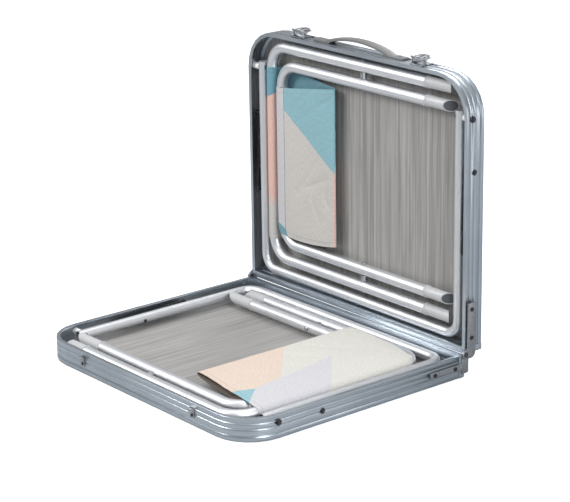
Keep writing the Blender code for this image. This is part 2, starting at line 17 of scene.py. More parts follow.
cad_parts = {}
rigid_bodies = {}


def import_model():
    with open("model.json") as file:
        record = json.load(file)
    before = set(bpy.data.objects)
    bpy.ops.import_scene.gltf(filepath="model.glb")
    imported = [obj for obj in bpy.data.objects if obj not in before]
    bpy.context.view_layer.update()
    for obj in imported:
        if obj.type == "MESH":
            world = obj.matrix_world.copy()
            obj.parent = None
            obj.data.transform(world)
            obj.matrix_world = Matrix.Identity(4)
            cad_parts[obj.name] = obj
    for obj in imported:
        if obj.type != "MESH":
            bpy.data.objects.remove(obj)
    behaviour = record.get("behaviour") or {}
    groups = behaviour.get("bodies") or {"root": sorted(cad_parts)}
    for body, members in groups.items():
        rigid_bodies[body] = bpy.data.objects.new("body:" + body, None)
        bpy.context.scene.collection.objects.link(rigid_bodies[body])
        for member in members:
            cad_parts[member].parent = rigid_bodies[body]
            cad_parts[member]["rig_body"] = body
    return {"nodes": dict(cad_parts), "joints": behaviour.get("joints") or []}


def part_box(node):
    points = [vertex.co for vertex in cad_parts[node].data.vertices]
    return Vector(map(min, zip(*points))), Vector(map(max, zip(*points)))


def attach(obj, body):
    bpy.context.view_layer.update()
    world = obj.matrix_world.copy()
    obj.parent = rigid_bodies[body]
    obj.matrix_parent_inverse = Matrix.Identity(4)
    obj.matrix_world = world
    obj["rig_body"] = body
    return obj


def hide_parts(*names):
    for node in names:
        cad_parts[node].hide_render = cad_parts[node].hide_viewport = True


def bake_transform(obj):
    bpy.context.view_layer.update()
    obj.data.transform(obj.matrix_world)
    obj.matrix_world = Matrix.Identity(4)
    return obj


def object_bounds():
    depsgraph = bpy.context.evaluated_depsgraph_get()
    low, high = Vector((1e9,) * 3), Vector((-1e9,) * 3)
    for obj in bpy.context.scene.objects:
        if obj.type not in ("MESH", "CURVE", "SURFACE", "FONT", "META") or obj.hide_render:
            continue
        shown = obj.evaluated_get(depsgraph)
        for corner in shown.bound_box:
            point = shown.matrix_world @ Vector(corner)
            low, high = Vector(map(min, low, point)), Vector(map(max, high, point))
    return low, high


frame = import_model()
frame_low, frame_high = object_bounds()
HALVES = ("lower", "lid")
SIDES = {"left": -1, "right": 1}
ENDS = {"near": -1, "far": 1}
print("frame nodes:", len(frame["nodes"]))

# %% [markdown]
# ## Two halves, one drawing
#
# Both halves are the same design, so a piece is drawn once, in the half's own directions:
# X along the hinge, Y from the hinge to the free edge, and Z from the open rim to the board.
# Two placements then put copies into the lower tray and the lid. They turn about the hinge
# point, which the frame's hinge joint gives.

# %% Placements of the two halves
hinge_joint = next(joint for joint in frame["joints"] if joint["name"] == "lid_hinge")
HINGE = Vector(hinge_joint["pos_m"])
PLACE = {
    "lower": Matrix.Translation(HINGE) @ Matrix.Rotation(math.pi, 4, "X"),
    "lid": Matrix.Translation(HINGE) @ Matrix.Rotation(math.pi, 4, "Z")
           @ Matrix.Rotation(math.pi / 2, 4, "X"),
}


def own_box(half, part):
    """Lowest and highest corner of a frame node, in its half's own directions."""
    back = PLACE[half].inverted()
    name = f"{half}_{part}"
    corners = [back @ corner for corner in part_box(name if name in frame["nodes"] else part)]
    return (Vector(map(min, *corners)), Vector(map(max, *corners)))


rim_high = own_box("lower", "rim")[1]
HALF_LENGTH = rim_high.x
DEPTH = rim_high.y
HEIGHT = rim_high.z
print("one half, mm:", [round(1000 * size) for size in (2 * HALF_LENGTH, DEPTH, HEIGHT)])

# %% [markdown]
# ## Small helpers for working by hand in code
#
# The modelling below uses the same operators as the menus do. An operator acts on everything
# that is selected, so each step starts from an empty selection. Faces are picked by their place
# or by the way they look.


# %% Selection and finishing helpers
def only(piece):
    """Make one object the whole selection."""
    bpy.ops.object.select_all(action="DESELECT")
    piece.select_set(True)
    bpy.context.view_layer.objects.active = piece


def pick_faces(piece, test):
    """In edit mode, select just the faces that pass a test on their centre and normal."""
    bpy.ops.mesh.select_all(action="DESELECT")
    shape = bmesh.from_edit_mesh(piece.data)
    for face in shape.faces:
        if test(face.calc_center_median(), face.normal):
            face.select_set(True)
    bmesh.update_edit_mesh(piece.data)


def apply_modifier(piece, kind, **settings):
    only(piece)
    bpy.ops.object.modifier_add(type=kind)
    modifier = piece.modifiers[-1]
    for name, value in settings.items():
        setattr(modifier, name, value)
    bpy.ops.object.modifier_apply(modifier=modifier.name)


def soften(piece, width, segments=2, angle=35):
    """Round the sharp edges a little, so that they catch the light."""
    apply_modifier(piece, "BEVEL", width=width, segments=segments, limit_method="ANGLE",
                   angle_limit=math.radians(angle))


def smooth(piece, angle=35):
    only(piece)
    bpy.ops.object.shade_smooth_by_angle(angle=math.radians(angle))


def paint(piece, finish):
    piece.data.materials.clear()
    piece.data.materials.append(finish)


def fit(model, half, name, body, finish, nodes=()):
    """Put a copy of a drawn piece into one half, and let it ride on a body."""
    piece = bpy.data.objects.new(name, model.data.copy())
    bpy.context.scene.collection.objects.link(piece)
    piece.data.transform(PLACE[half])
    paint(piece, finish)
    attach(piece, body)
    if nodes:
        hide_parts(*nodes)
    return piece


def discard(model):
    bpy.data.objects.remove(model, do_unlink=True)


# %% [markdown]
# ## Shared effects as node groups
#
# Three effects are used by several finishes. Fine grain is a stretched noise that gives brushed
# lines or moulded texture. Half plane splits a surface along a straight line, for the cloth's
# colour areas. Weave makes the over and under of plain cloth, with the small thick and thin
# places of its threads.


# %% Node helpers
def new_group(name, inputs, outputs):
    group = bpy.data.node_groups.new(name, "ShaderNodeTree")
    for label, kind, value in inputs:
        socket = group.interface.new_socket(label, in_out="INPUT", socket_type=kind)
        socket.default_value = value
    for label, kind in outputs:
        group.interface.new_socket(label, in_out="OUTPUT", socket_type=kind)
    start = group.nodes.new("NodeGroupInput")
    end = group.nodes.new("NodeGroupOutput")
    return group, start, end


def add_node(tree, kind, links=(), **settings):
    """Add a node, set its properties, and wire (input, source socket) pairs."""
    node = tree.nodes.new(kind)
    values = settings.pop("values", {})
    for name, value in settings.items():
        setattr(node, name, value)
    for name, value in values.items():
        node.inputs[name].default_value = value
    for name, source in links:
        tree.links.new(source, node.inputs[name])
    return node


def math_node(tree, operation, first, second):
    node = tree.nodes.new("ShaderNodeMath")
    node.operation = operation
    for socket, value in zip(node.inputs, (first, second)):
        if isinstance(value, (int, float)):
            socket.default_value = value
        else:
            tree.links.new(value, socket)
    return node.outputs[0]


def line_at(tree, value, place, half_width):
    """A mask that is 1 within half a line's width of a place."""
    gap = math_node(tree, "ABSOLUTE", math_node(tree, "SUBTRACT", value, place), 0.0)
    return math_node(tree, "LESS_THAN", gap, half_width)


def tone_ramp(tree, factor, stops):
    """A colour ramp with (place, colour) stops, in order."""
    node = add_node(tree, "ShaderNodeValToRGB", links=[("Fac", factor)])
    elements = node.color_ramp.elements
    for element, (place, colour) in zip(elements, (stops[0], stops[-1])):
        element.position = place
        element.color = (*colour, 1)
    for place, colour in stops[1:-1]:
        elements.new(place).color = (*colour, 1)
    return node.outputs["Color"]


def blend_colours(tree, factor, first, second):
    """Mix two colours, each a socket or a plain value, by a mask."""
    node = tree.nodes.new("ShaderNodeMix")
    node.data_type = "RGBA"
    tree.links.new(factor, node.inputs["Factor"])
    for socket, value in zip((node.inputs[6], node.inputs[7]), (first, second)):
        if isinstance(value, tuple):
            socket.default_value = (*value, 1.0)
        else:
            tree.links.new(value, socket)
    return node.outputs[2]


# %% Fine grain group
VECTOR, FLOAT = "NodeSocketVector", "NodeSocketFloat"
grain, grain_in, grain_out = new_group(
    "fine_grain",
    [("Place", VECTOR, (0, 0, 0)), ("Stretch", VECTOR, (1, 1, 1)), ("Low", FLOAT, 0.3),
     ("High", FLOAT, 0.4), ("Detail", FLOAT, 3.0)],
    [("Roughness", FLOAT), ("Height", FLOAT)])
grain_scaled = add_node(grain, "ShaderNodeVectorMath", operation="MULTIPLY",
                        links=[(0, grain_in.outputs["Place"]), (1, grain_in.outputs["Stretch"])])
grain_noise = add_node(grain, "ShaderNodeTexNoise", values={"Scale": 1.0},
                       links=[("Vector", grain_scaled.outputs[0]),
                              ("Detail", grain_in.outputs["Detail"])])
grain_range = add_node(grain, "ShaderNodeMapRange", values={"From Min": 0.3, "From Max": 0.7},
                       links=[("Value", grain_noise.outputs["Fac"]),
                              ("To Min", grain_in.outputs["Low"]),
                              ("To Max", grain_in.outputs["High"])])
grain.links.new(grain_range.outputs[0], grain_out.inputs["Roughness"])
grain.links.new(grain_noise.outputs["Fac"], grain_out.inputs["Height"])

# %% Half plane group
half_plane, plane_in, plane_out = new_group(
    "half_plane", [("Place", VECTOR, (0, 0, 0)), ("Point", VECTOR, (0, 0, 0)),
                   ("Across", VECTOR, (1, 0, 0)), ("Softness", FLOAT, 0.0008)],
    [("Mask", FLOAT)])
plane_offset = add_node(half_plane, "ShaderNodeVectorMath", operation="SUBTRACT",
                        links=[(0, plane_in.outputs["Place"]), (1, plane_in.outputs["Point"])])
plane_side = add_node(half_plane, "ShaderNodeVectorMath", operation="DOT_PRODUCT",
                      links=[(0, plane_offset.outputs[0]), (1, plane_in.outputs["Across"])])
plane_steps = math_node(half_plane, "DIVIDE", plane_side.outputs["Value"],
                        plane_in.outputs["Softness"])
plane_mask = add_node(half_plane, "ShaderNodeClamp",
                      links=[("Value", math_node(half_plane, "ADD", plane_steps, 0.5))])
half_plane.links.new(plane_mask.outputs[0], plane_out.inputs["Mask"])

# %% Weave group
weave, weave_in, weave_out = new_group(
    "weave", [("Place", VECTOR, (0, 0, 0)), ("Threads", FLOAT, 1400.0)],
    [("Height", FLOAT), ("Shade", FLOAT)])
weave_split = add_node(weave, "ShaderNodeSeparateXYZ",
                       links=[("Vector", weave_in.outputs["Place"])])
weave_rate = math_node(weave, "MULTIPLY", weave_in.outputs["Threads"], math.pi)
weave_waves = [math_node(weave, "SINE", math_node(weave, "MULTIPLY", weave_split.outputs[axis],
                                                  weave_rate), 0.0) for axis in ("X", "Y")]
weave_product = math_node(weave, "MULTIPLY", *weave_waves)
weave_height = math_node(weave, "ADD", math_node(weave, "MULTIPLY", weave_product, 0.5), 0.5)
weave.links.new(weave_height, weave_out.inputs["Height"])
weave_slubs = add_node(weave, "ShaderNodeVectorMath", operation="MULTIPLY",
                       values={1: (170, 620, 170)}, links=[(0, weave_in.outputs["Place"])])
weave_cloud = add_node(weave, "ShaderNodeTexNoise", values={"Scale": 1.0, "Detail": 4.0},
                       links=[("Vector", weave_slubs.outputs[0])])
weave_shade = math_node(weave, "ADD", math_node(weave, "MULTIPLY", weave_height, 0.10),
                        math_node(weave, "MULTIPLY", weave_cloud.outputs["Fac"], 0.22))
weave.links.new(weave_shade, weave_out.inputs["Shade"])
print("node groups:", grain.name, half_plane.name, weave.name)

# %% [markdown]
# ## Metal, plastic and board finishes
#
# The trays are anodised extrusions: fine lines run along them, so the grain is stretched across
# the profile only. The tubes have the same satin with a much finer, rounder grain. Levers, bails,
# catches and small rivets are zinc plated, and Voronoi cells give that plate its spangle. Hinge
# leaves and latch bases are plain grey plate. The larger rivets, the hinge pins and most screws
# are polished: a dark, smooth metal that shows mainly the lights. The strips of the braces are
# blackened steel with worn spots. Each finish has its fixed values on its own shader, and only
# what changes over the surface comes from nodes.


# %% Finish builder
def new_finish(name, colour, metallic=0.0, roughness=0.5, **fixed):
    made = bpy.data.materials.new(name)
    made.use_nodes = True
    shader = made.node_tree.nodes["Principled BSDF"]
    shader.inputs["Base Color"].default_value = (*colour, 1.0)
    shader.inputs["Metallic"].default_value = metallic
    shader.inputs["Roughness"].default_value = roughness
    for label, value in fixed.items():
        shader.inputs[label.replace("_", " ")].default_value = value
    return made, made.node_tree, shader


def object_place(tree):
    return tree.nodes.new("ShaderNodeTexCoord").outputs["Object"]


def add_grain(tree, shader, stretch, low, high, bump, distance=0.0002, detail=3.0, place=None):
    """Wire fine grain into a shader's roughness and normal; returns the grain node."""
    node = add_node(tree, "ShaderNodeGroup", node_tree=grain,
                    values={"Stretch": stretch, "Low": low, "High": high, "Detail": detail},
                    links=[("Place", place or object_place(tree))])
    tree.links.new(node.outputs["Roughness"], shader.inputs["Roughness"])
    relief = add_node(tree, "ShaderNodeBump", values={"Strength": bump, "Distance": distance},
                      links=[("Height", node.outputs["Height"])])
    tree.links.new(relief.outputs["Normal"], shader.inputs["Normal"])
    return node


def tinted(tree, shader, factor, dark, light):
    """Base colour that a mask blends from one tone, or another colour socket, to a second."""
    tree.links.new(blend_colours(tree, factor, dark, light), shader.inputs["Base Color"])


# %% Extruded aluminium, one grain direction for each half
extrusion = {}
for half, stretch in (("lower", (3, 3, 1400)), ("lid", (3, 1400, 3))):
    extrusion[half], tree, shader = new_finish(f"{half}_extrusion", (0.60, 0.65, 0.70), 1.0)
    lines = add_grain(tree, shader, stretch, 0.22, 0.38, 0.06)
    cloud = add_node(tree, "ShaderNodeTexNoise", values={"Scale": 9.0, "Detail": 4.0},
                     links=[("Vector", object_place(tree))])
    tinted(tree, shader, math_node(tree, "MULTIPLY", lines.outputs["Height"],
                                   cloud.outputs["Fac"]),
           (0.36, 0.41, 0.46), (0.88, 0.93, 0.98))

# %% Satin tube
tube_finish, tree, shader = new_finish("satin_tube", (0.74, 0.76, 0.79), 1.0)
add_grain(tree, shader, (2400, 2400, 2400), 0.40, 0.46, 0.004, 0.00005)
tube_cloud = add_node(tree, "ShaderNodeTexNoise", values={"Scale": 14.0, "Detail": 5.0},
                      links=[("Vector", object_place(tree))])
tinted(tree, shader, tube_cloud.outputs["Fac"], (0.72, 0.74, 0.77), (0.86, 0.87, 0.89))

# %% Zinc, grey plate, polished and blackened steel
zinc, tree, shader = new_finish("zinc_plate", (0.62, 0.63, 0.65), 1.0)
add_grain(tree, shader, (260, 260, 260), 0.22, 0.44, 0.12)
zinc_cloud = add_node(tree, "ShaderNodeTexVoronoi", values={"Scale": 320.0},
                      links=[("Vector", object_place(tree))])
tinted(tree, shader, zinc_cloud.outputs["Distance"], (0.58, 0.59, 0.61), (0.34, 0.35, 0.37))

plate_steel, tree, shader = new_finish("plate_steel", (0.36, 0.37, 0.39), 1.0)
plate_grain = add_grain(tree, shader, (200, 200, 200), 0.26, 0.46, 0.10)
tinted(tree, shader, plate_grain.outputs["Height"], (0.17, 0.18, 0.19), (0.42, 0.44, 0.47))

polished, tree, shader = new_finish("polished_rivet", (0.10, 0.10, 0.11), 1.0)
add_grain(tree, shader, (300, 300, 300), 0.10, 0.18, 0.03)

black_steel, tree, shader = new_finish("blackened_steel", (0.05, 0.05, 0.055), 0.9)
black_grain = add_grain(tree, shader, (180, 180, 180), 0.30, 0.55, 0.2)
worn = add_node(tree, "ShaderNodeMapRange", values={"From Min": 0.60, "From Max": 0.72},
                links=[("Value", black_grain.outputs["Height"])])
tinted(tree, shader, worn.outputs[0], (0.045, 0.045, 0.05), (0.30, 0.31, 0.33))


# %% Moulded plastics
def plastic(name, dark, light, low, high):
    made, tree, shader = new_finish(name, light, 0.0)
    node = add_grain(tree, shader, (900, 900, 900), low, high, 0.18)
    tinted(tree, shader, node.outputs["Height"], dark, light)
    return made


foot_plastic = plastic("foot_plastic", (0.32, 0.325, 0.335), (0.64, 0.65, 0.66), 0.30, 0.44)
sole_plastic = plastic("sole_plastic", (0.07, 0.075, 0.085), (0.13, 0.14, 0.15), 0.5, 0.7)
handle_plastic = plastic("handle_plastic", (0.13, 0.13, 0.13), (0.20, 0.20, 0.20), 0.34, 0.48)
bush_plastic = plastic("bush_plastic", (0.80, 0.80, 0.78), (0.92, 0.92, 0.90), 0.35, 0.5)

# %% [markdown]
# ## The board
#
# The table top is a thin board with a grey wood-grain print. The grain runs from the hinge to the
# free edge. Long noise gives the streaks and a second, finer one the pores, and a thin dark line
# marks the one joint between the printed planks.

# %% Wood-grain board
PLANK_JOINT = 0.005       # place of the joint line, and half its width
JOINT_HALF = 0.0006
board_finish = {}
for half, along in (("lower", (240, 4, 240)), ("lid", (240, 240, 4))):
    board_finish[half], tree, shader = new_finish(f"{half}_board_print", (0.42, 0.39, 0.36),
                                                  Coat_Weight=0.25, Coat_Roughness=0.35)
    place = object_place(tree)
    warp = add_node(tree, "ShaderNodeTexNoise", values={"Scale": 7.0, "Detail": 2.0},
                    links=[("Vector", place)])
    shifted = add_node(tree, "ShaderNodeVectorMath", operation="MULTIPLY_ADD",
                       values={1: (0.002, 0.002, 0.002)},
                       links=[(0, warp.outputs["Color"]), (2, place)])
    streaks = add_grain(tree, shader, along, 0.40, 0.56, 0.12, 0.0002, 6.0,
                        shifted.outputs[0])
    pores = add_node(tree, "ShaderNodeGroup", node_tree=grain, links=[("Place", place)],
                     values={"Stretch": tuple(4 * scale for scale in along)})
    tones = tone_ramp(tree, streaks.outputs["Height"],
                      [(0.30, (0.215, 0.206, 0.198)), (0.5, (0.310, 0.302, 0.293)),
                       (0.72, (0.410, 0.402, 0.392))])
    pore_mask = add_node(tree, "ShaderNodeMapRange",
                         values={"From Min": 0.56, "From Max": 0.70, "To Max": 0.50},
                         links=[("Value", pores.outputs["Height"])])
    printed = blend_colours(tree, pore_mask.outputs[0], tones, (0.180, 0.165, 0.155))
    across = add_node(tree, "ShaderNodeSeparateXYZ", links=[("Vector", place)]).outputs["X"]
    tinted(tree, shader, line_at(tree, across, PLANK_JOINT, JOINT_HALF), printed,
           (0.17, 0.16, 0.15))
print("finishes so far:", len(bpy.data.materials))

# %% [markdown]
# ## Bent tubes
#
# All the frames are round tube bent to a U. A maker feeds a tube through a bender: straight run,
# bend, straight run. The same order works here. A circle is the tube's end, extrude pulls the
# straight runs, and spin makes the bends. Solidify then gives the wall, so the ends are open.

# %% Tube bender
TUBE_SIDES = 32
BEND_STEPS = 10
TUBE_WALL = 0.0012


def end_ring(radius, centre, facing, fill="NOTHING", sides=TUBE_SIDES):
    """A circle that looks along a direction, with its place in its mesh."""
    bpy.ops.object.select_all(action="DESELECT")
    turn = Vector(facing).to_track_quat("Z", "Y").to_euler()
    bpy.ops.mesh.primitive_circle_add(vertices=sides, radius=radius, fill_type=fill,
                                      location=centre, rotation=turn)
    ring = bpy.context.object
    bpy.ops.object.transform_apply(location=True, rotation=True, scale=True)
    return ring


def bent_tube(radius, start, heading, moves):
    """A hollow tube. A move is a run's length, or (bend radius, degrees to the left)."""
    tube = end_ring(radius, start, heading)
    bpy.ops.object.mode_set(mode="EDIT")
    bpy.ops.mesh.select_all(action="SELECT")
    place = Vector(start)
    ahead = Vector(heading).normalized()
    axis = Vector((0, 0, 1))
    for move in moves:
        if isinstance(move, tuple):
            bend, degrees = move
            centre = place + axis.cross(ahead) * bend * math.copysign(1, degrees)
            bpy.ops.mesh.spin(steps=BEND_STEPS, angle=-math.radians(degrees), center=centre,
                              axis=axis)
            turn = Matrix.Rotation(math.radians(degrees), 3, "Z")
            place = centre + turn @ (place - centre)
            ahead = turn @ ahead
        else:
            bpy.ops.mesh.extrude_region_move(TRANSFORM_OT_translate={"value": ahead * move})
            place = place + ahead * move
    bpy.ops.mesh.select_all(action="SELECT")
    bpy.ops.mesh.normals_make_consistent(inside=False)
    bpy.ops.object.mode_set(mode="OBJECT")
    apply_modifier(tube, "SOLIDIFY", thickness=TUBE_WALL, offset=-1, use_even_offset=True)
    smooth(tube)
    return tube


# %% [markdown]
# ## Leg frames
#
# The table's legs are one U of 19 mm tube in each half. It lies folded round the stool, with its
# crossbar beside the hinge. The arms turn on rivets near the free edge, and the open ends stand a
# little past the rivets.

# %% Leg frames
leg_low, leg_high = own_box("lower", "leg_frame")
LEG_RADIUS = (leg_high.z - leg_low.z) / 2
LEG_DEPTH = (leg_high.z + leg_low.z) / 2
LEG_SPAN = leg_high.x - LEG_RADIUS
LEG_CROSS = leg_low.y + LEG_RADIUS
LEG_BEND = 0.030
leg_run = leg_high.y - LEG_CROSS - LEG_BEND
leg_tube = bent_tube(LEG_RADIUS, (LEG_SPAN, leg_high.y, LEG_DEPTH), (0, -1, 0),
                     [leg_run, (LEG_BEND, -90), 2 * (LEG_SPAN - LEG_BEND), (LEG_BEND, -90),
                      leg_run])
for half in HALVES:
    fit(leg_tube, half, f"{half}_leg_tube", f"{half}_leg", tube_finish,
        [f"{half}_leg_frame"])
discard(leg_tube)
print("leg tube, mm: radius", round(1000 * LEG_RADIUS, 2), "span", round(2000 * LEG_SPAN, 1))

# %% [markdown]
# ## Stool frames
#
# A stool is two U frames of 22 mm tube that cross at two pins. The outer frame is wider, so the
# inner one folds flat inside it. The crossbars carry the seat cloth, and the other ends carry
# slanted feet that stand flat when the stool is open.

# %% Stool frames
STOOL_BEND = 0.042
stool = {}
for ring in ("outer", "inner"):
    low, high = own_box("lower", f"stool_{ring}_frame")
    radius = (high.z - low.z) / 2
    stool[ring] = {
        "radius": radius, "depth": (high.z + low.z) / 2, "cross": high.x - radius,
        "middle": (high.y + low.y) / 2, "half": (high.y - low.y) / 2 - radius, "start": low.x}
STOOL_RADIUS = stool["outer"]["radius"]
STOOL_DEPTH = stool["outer"]["depth"]
STOOL_MIDDLE = stool["outer"]["middle"]
for ring, part in stool.items():
    run = part["cross"] - STOOL_BEND - part["start"]
    model = bent_tube(part["radius"], (part["start"], STOOL_MIDDLE + part["half"], STOOL_DEPTH),
                      (1, 0, 0), [run, (STOOL_BEND, -90), 2 * (part["half"] - STOOL_BEND),
                                  (STOOL_BEND, -90), run])
    for half in HALVES:
        fit(model, half, f"{half}_stool_{ring}_tube", f"{half}_stool_{ring}", tube_finish,
            [f"{half}_stool_{ring}_frame"])
    discard(model)
print("stool tube radius, mm:", round(1000 * STOOL_RADIUS, 2))

# %% [markdown]
# ## Stool feet
#
# Each foot is a plastic cap over the tube's end. It has a collar, a long body and an end that is
# cut at 45 degrees, with a dark ribbed sole set into the cut. The cap starts as a disc. Extrude
# and inset make the collar and body, and bisect cuts the slant. Bisect also splits the sole into
# strips, and every other strip is raised to a rib.

# %% Foot cap and ribbed sole
foot_low, foot_high = own_box("lower", "stool_outer_foot_near")
FOOT_COLLAR = 0.003
FOOT_ROOT = foot_high.x
FOOT_TIP = foot_low.x
FOOT_RADIUS = (foot_high.z - foot_low.z) / 2
CUT_AT = FOOT_TIP + STOOL_RADIUS
CUT_CENTRE = Vector((CUT_AT, 0, STOOL_DEPTH))
CUT_FACING = Vector((-1, 0, -1)).normalized()      # towards the open side
SOLE_RIM = 0.0012
SOLE_SINK = 0.0010
SOLE_GAP = 0.0001
RIBS = 6
RIB_RISE = 0.0006


def model_foot():
    cap = end_ring(FOOT_RADIUS, (FOOT_ROOT, 0, STOOL_DEPTH), (-1, 0, 0), "NGON")
    bpy.ops.object.mode_set(mode="EDIT")
    bpy.ops.mesh.select_all(action="SELECT")
    bpy.ops.mesh.extrude_region_move(TRANSFORM_OT_translate={"value": (-FOOT_COLLAR, 0, 0)})
    bpy.ops.mesh.inset(thickness=FOOT_RADIUS - STOOL_RADIUS, depth=0)
    bpy.ops.mesh.extrude_region_move(
        TRANSFORM_OT_translate={"value": (FOOT_TIP - FOOT_ROOT - STOOL_RADIUS, 0, 0)})
    bpy.ops.mesh.select_all(action="SELECT")
    bpy.ops.mesh.bisect(plane_co=CUT_CENTRE, plane_no=CUT_FACING, use_fill=True,
                        clear_outer=True)
    bpy.ops.mesh.select_all(action="SELECT")
    bpy.ops.mesh.normals_make_consistent(inside=False)
    pick_faces(cap, lambda centre, normal: normal.dot(CUT_FACING) > 0.9)
    bpy.ops.mesh.inset(thickness=SOLE_RIM, depth=0)
    bpy.ops.mesh.extrude_region_move(TRANSFORM_OT_translate={"value": -CUT_FACING * SOLE_SINK})
    bpy.ops.object.mode_set(mode="OBJECT")
    soften(cap, 0.0003, 1)
    smooth(cap)
    return cap


def model_sole():
    """The ribbed dark plate in the cut: a disc split into strips, with every other one raised."""
    narrow = STOOL_RADIUS - SOLE_RIM - SOLE_GAP
    plate = end_ring(narrow, CUT_CENTRE - CUT_FACING * SOLE_SINK * 0.9, CUT_FACING, "NGON")
    bpy.ops.object.mode_set(mode="EDIT")
    bpy.ops.mesh.select_all(action="SELECT")
    slope = Vector((1, 0, -1)).normalized()
    bpy.ops.transform.resize(value=(math.sqrt(2), 1, 1), orient_type="GLOBAL",
                             orient_matrix=(slope, (0, 1, 0), CUT_FACING),
                             orient_matrix_type="GLOBAL", center_override=CUT_CENTRE)
    step = 2 * narrow / (2 * RIBS + 1)
    for count in range(1, 2 * RIBS + 1):
        bpy.ops.mesh.select_all(action="SELECT")
        bpy.ops.mesh.bisect(plane_co=(0, count * step - narrow, 0), plane_no=(0, 1, 0))
    pick_faces(plate, lambda centre, normal: int((centre.y + narrow) / step) % 2 == 1)
    bpy.ops.mesh.extrude_region_move(TRANSFORM_OT_translate={"value": CUT_FACING * RIB_RISE})
    bpy.ops.object.mode_set(mode="OBJECT")
    return plate


# %% Feet on all four legs of both stools
feet = {"cap": (model_foot(), foot_plastic), "sole": (model_sole(), sole_plastic)}
to_board = (Matrix.Translation((0, 0, STOOL_DEPTH)) @ Matrix.Scale(-1, 4, (0, 0, 1))
            @ Matrix.Translation((0, 0, -STOOL_DEPTH)))
LOOKS_OUT = {    # is the slanted end turned to the tray's open side?
    ("lower", "outer"): True, ("lower", "inner"): False,
    ("lid", "outer"): False, ("lid", "inner"): True}
for (half, ring), looks_out in LOOKS_OUT.items():
    for end, side in ENDS.items():
        for kind, (model, finish) in feet.items():
            shape = bpy.data.objects.new("foot_draft", model.data.copy())
            if not looks_out:
                shape.data.transform(to_board)
                shape.data.flip_normals()
            shape.data.transform(Matrix.Translation(
                (0, STOOL_MIDDLE + side * stool[ring]["half"], 0)))
            nodes = [f"{half}_stool_{ring}_foot_{end}"] if kind == "cap" else ()
            fit(shape, half, f"{half}_stool_{ring}_{kind}_{end}", f"{half}_stool_{ring}",
                finish, nodes)
            discard(shape)
for model, finish in feet.values():
    discard(model)
print("foot length, mm:", round(1000 * (FOOT_ROOT - FOOT_TIP), 1))

# %% [markdown]
# ## Trays, plates and fittings
#
# The frame's trays, plates and fittings already have the right shape, in flat facets with sharp
# edges. A copy of each one has its corners merged and its edges rounded by a hair, so the real
# part's bright edge lines appear.


# %% Refined copies of frame parts
def refined(node, finish, width, segments=2, angle=35):
    """Stand-in for a frame node, with merged corners and softened edges."""
    piece = bpy.data.objects.new(node + "_fine", frame["nodes"][node].data.copy())
    bpy.context.scene.collection.objects.link(piece)
    only(piece)
    bpy.ops.object.mode_set(mode="EDIT")
    bpy.ops.mesh.select_all(action="SELECT")
    bpy.ops.mesh.remove_doubles(threshold=0.00002)
    bpy.ops.mesh.dissolve_limited(angle_limit=math.radians(1))
    bpy.ops.object.mode_set(mode="OBJECT")
    if width:
        soften(piece, width, segments, angle)
    paint(piece, finish)
    smooth(piece, 40)
    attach(piece, frame["nodes"][node]["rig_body"])
    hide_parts(node)
    return piece


for half in HALVES:
    refined(f"{half}_rim", extrusion[half], 0.00025, 1)
    refined(f"{half}_hinge_rail", extrusion[half], 0.0003)
    for side in SIDES:
        refined(f"{half}_hinge_leaf_{side}", plate_steel, 0.0003)
        refined(f"{half}_brace_wall_link_{side}", black_steel, 0.0004)
        refined(f"{half}_brace_leg_link_{side}", black_steel, 0.0004)
for side in SIDES:
    refined(f"latch_base_{side}", plate_steel, 0.0002, 1)
    refined(f"latch_lever_{side}", zinc, 0.0003, 1)
    refined(f"latch_bail_{side}", zinc, 0)
    refined(f"catch_{side}", zinc, 0.0002, 1)
refined("handle", handle_plastic, 0.0012, 3, 50)

# %% Finishes on the frame parts that stay
STAYS = {"board": board_finish, "bush": bush_plastic, "rivet": polished, "pivot": zinc,
         "pin": polished}
for name, node in frame["nodes"].items():
    if node.hide_render:
        continue
    for word, finish in STAYS.items():
        if word in name:
            if isinstance(finish, dict):
                finish = finish[name.split("_")[0]]
            node.material_slots[0].material = finish
            if word != "board":
                smooth(node, 40)
            break

# %% [markdown]
# ## Rivets and screws
#
# The braces turn on round-headed rivets, and the hinge plates, latches, catches and handle are
# held by small pan-head screws. Both heads are one low dome: a disc that is pushed out in three
# steps, each narrower than the last. The screw also gets a cross recess, which two small crossed
# blocks cut out of it.


# %% Domed heads
def domed_head(radius, rise, at, facing):
    """A low round head that stands on a face and looks along a direction."""
    head = end_ring(radius, at, facing, "NGON", 20)
    out = Vector(facing).normalized()
    bpy.ops.object.mode_set(mode="EDIT")
    bpy.ops.mesh.select_all(action="SELECT")
    for share, inset in ((0.45, 0.0), (0.35, 0.22), (0.20, 0.30)):
        if inset:
            bpy.ops.mesh.inset(thickness=inset * radius, depth=0)
        bpy.ops.mesh.extrude_region_move(
            TRANSFORM_OT_translate={"value": out * (share * rise)})
    bpy.ops.mesh.select_all(action="SELECT")
    bpy.ops.mesh.normals_make_consistent(inside=False)
    bpy.ops.object.mode_set(mode="OBJECT")
    smooth(head, 50)
    return head


def screw_head(radius, rise, at, facing):
    """A domed head with a crossed recess."""
    head = domed_head(radius, rise, at, facing)
    out = Vector(facing).normalized()
    bpy.ops.object.select_all(action="DESELECT")
    turn = out.to_track_quat("Z", "Y").to_euler()
    cutters = []
    for wide, narrow in ((1.1, 0.26), (0.26, 1.1)):
        bpy.ops.mesh.primitive_cube_add(size=1, location=Vector(at) + out * rise, rotation=turn,
                                        scale=(wide * radius, narrow * radius, rise * 0.9))
        cutters.append(bpy.context.object)
        bpy.ops.object.transform_apply(location=True, rotation=True, scale=True)
    for cutter in cutters:
        apply_modifier(head, "BOOLEAN", operation="DIFFERENCE", object=cutter)
        discard(cutter)
    smooth(head, 50)
    return head


def fit_head(model, half, name, body, finish):
    """Put one head in its place, and throw its drawing away."""
    piece = fit(model, half, name, body, finish)
    discard(model)
    return piece


